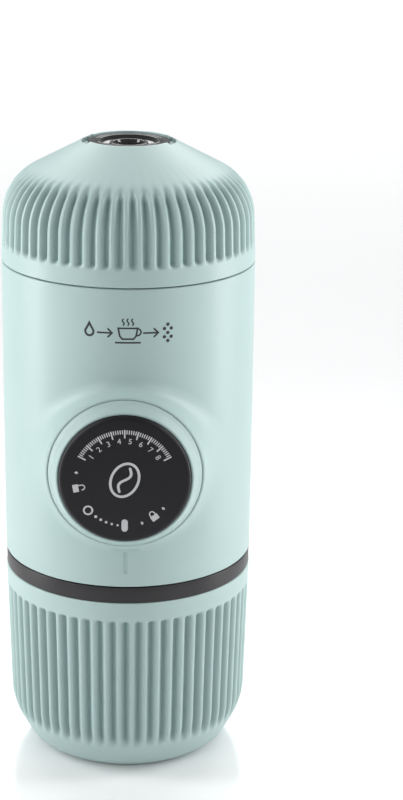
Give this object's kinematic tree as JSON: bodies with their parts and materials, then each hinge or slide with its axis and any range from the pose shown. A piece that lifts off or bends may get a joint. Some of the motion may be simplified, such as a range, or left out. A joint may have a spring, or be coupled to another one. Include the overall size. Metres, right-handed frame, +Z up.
{
  "type": "handheld manual espresso maker",
  "caption": "Pocket espresso maker: fluted cap with outlet, body with thumb pump that locks by a part turn, screw-in water tank and a fluted cup over it.",
  "frame": {"origin": "centre of the cup's flat base, on the axis of the body", "axes": "+Z up along the body to the outlet, the pump knob faces -Y, +X to the right of someone facing the knob"},
  "size_m": [0.062, 0.071, 0.156],
  "materials": {
    "mint_shell": "pale mint soft-touch paint over moulded plastic",
    "black_gloss": "glossy black moulded plastic",
    "black_satin": "satin black plastic with pale printed marks",
    "charcoal_satin": "satin charcoal plastic",
    "inner_grey": "moulded dark grey plastic",
    "inner_black": "moulded black plastic",
    "polished_steel": "polished stainless steel",
    "pressed_steel": "pressed and perforated stainless steel",
    "screw_steel": "plain steel",
    "spring_steel": "drawn spring wire",
    "turned_brass": "turned brass",
    "dark_rubber": "black rubber",
    "silicone": "grey silicone",
    "smoky_clear": "smoky clear copolyester"
  },
  "bodies": {
    "root": {"main_body": "mint_shell", "pump_bezel": "mint_shell", "pump_chassis": "inner_grey", "tank_socket": "inner_black", "pump_cylinder": "turned_brass", "cylinder_seal": "dark_rubber", "cylinder_screws": "screw_steel", "suction_valve_seat": "turned_brass", "suction_spring": "spring_steel", "discharge_valve_seat": "turned_brass", "discharge_spring": "spring_steel", "discharge_retainer": "turned_brass", "brew_collar": "inner_black", "collar_screws": "screw_steel", "basket_seal": "silicone", "shower_screen": "pressed_steel", "shower_screw": "screw_steel"},
    "sleeve": {"guide_sleeve": "black_satin"},
    "plunger": {"pump_knob": "black_satin", "plunger_rod": "polished_steel", "piston_seal": "dark_rubber", "return_spring": "spring_steel"},
    "suction_valve": {"suction_ball": "polished_steel"},
    "discharge_valve": {"discharge_ball": "polished_steel"},
    "basket": {"filter_basket": "pressed_steel"},
    "cap_seal": {"outlet_seal": "silicone"},
    "cap": {"outlet_head": "mint_shell", "outlet_insert": "black_gloss", "outlet_nozzle": "black_gloss"},
    "neck_seal": {"tank_seal": "silicone"},
    "tank": {"water_tank": "smoky_clear", "tank_collar": "charcoal_satin", "tank_vent_valve": "silicone"},
    "cup": {"drinking_cup": "mint_shell"}
  },
  "joints": [
    {"name": "lock_turn", "type": "hinge", "parent": "root", "child": "sleeve", "pos_m": [0, -0.0356, 0.0832], "axis": [0, -1, 0], "range_deg": [0, 45]},
    {"name": "pump_stroke", "type": "slide", "parent": "sleeve", "child": "plunger", "axis": [0, -1, 0], "range_m": [0, 0.018], "deforming": ["return_spring"]},
    {"name": "suction_lift", "type": "slide", "parent": "root", "child": "suction_valve", "axis": [0, 0, 1], "range_m": [0, 0.0012], "stiffness_N_per_m": 40, "springref_m": -0.001, "deforming": ["suction_spring"]},
    {"name": "discharge_lift", "type": "slide", "parent": "root", "child": "discharge_valve", "axis": [0, 0, 1], "range_m": [0, 0.0012], "stiffness_N_per_m": 40, "springref_m": -0.001, "deforming": ["discharge_spring"]},
    {"name": "basket_lift", "type": "slide", "parent": "root", "child": "basket", "axis": [0, 0, 1], "range_m": [0, 0.025]},
    {"name": "cap_lift", "type": "slide", "parent": "basket", "child": "cap_seal", "axis": [0, 0, 1], "range_m": [0, 0.028]},
    {"name": "cap_turn", "type": "hinge", "parent": "cap_seal", "child": "cap", "pos_m": [0, 0, 0.1269], "axis": [0, 0, 1], "range_deg": [0, 120]},
    {"name": "tank_drop", "type": "slide", "parent": "root", "child": "neck_seal", "axis": [0, 0, -1], "range_m": [0, 0.02]},
    {"name": "tank_turn", "type": "hinge", "parent": "neck_seal", "child": "tank", "pos_m": [0, 0, 0.0521], "axis": [0, 0, -1], "range_deg": [0, 120]},
    {"name": "cup_pull", "type": "slide", "parent": "tank", "child": "cup", "axis": [0, 0, -1], "range_m": [0, 0.05]}
  ]
}
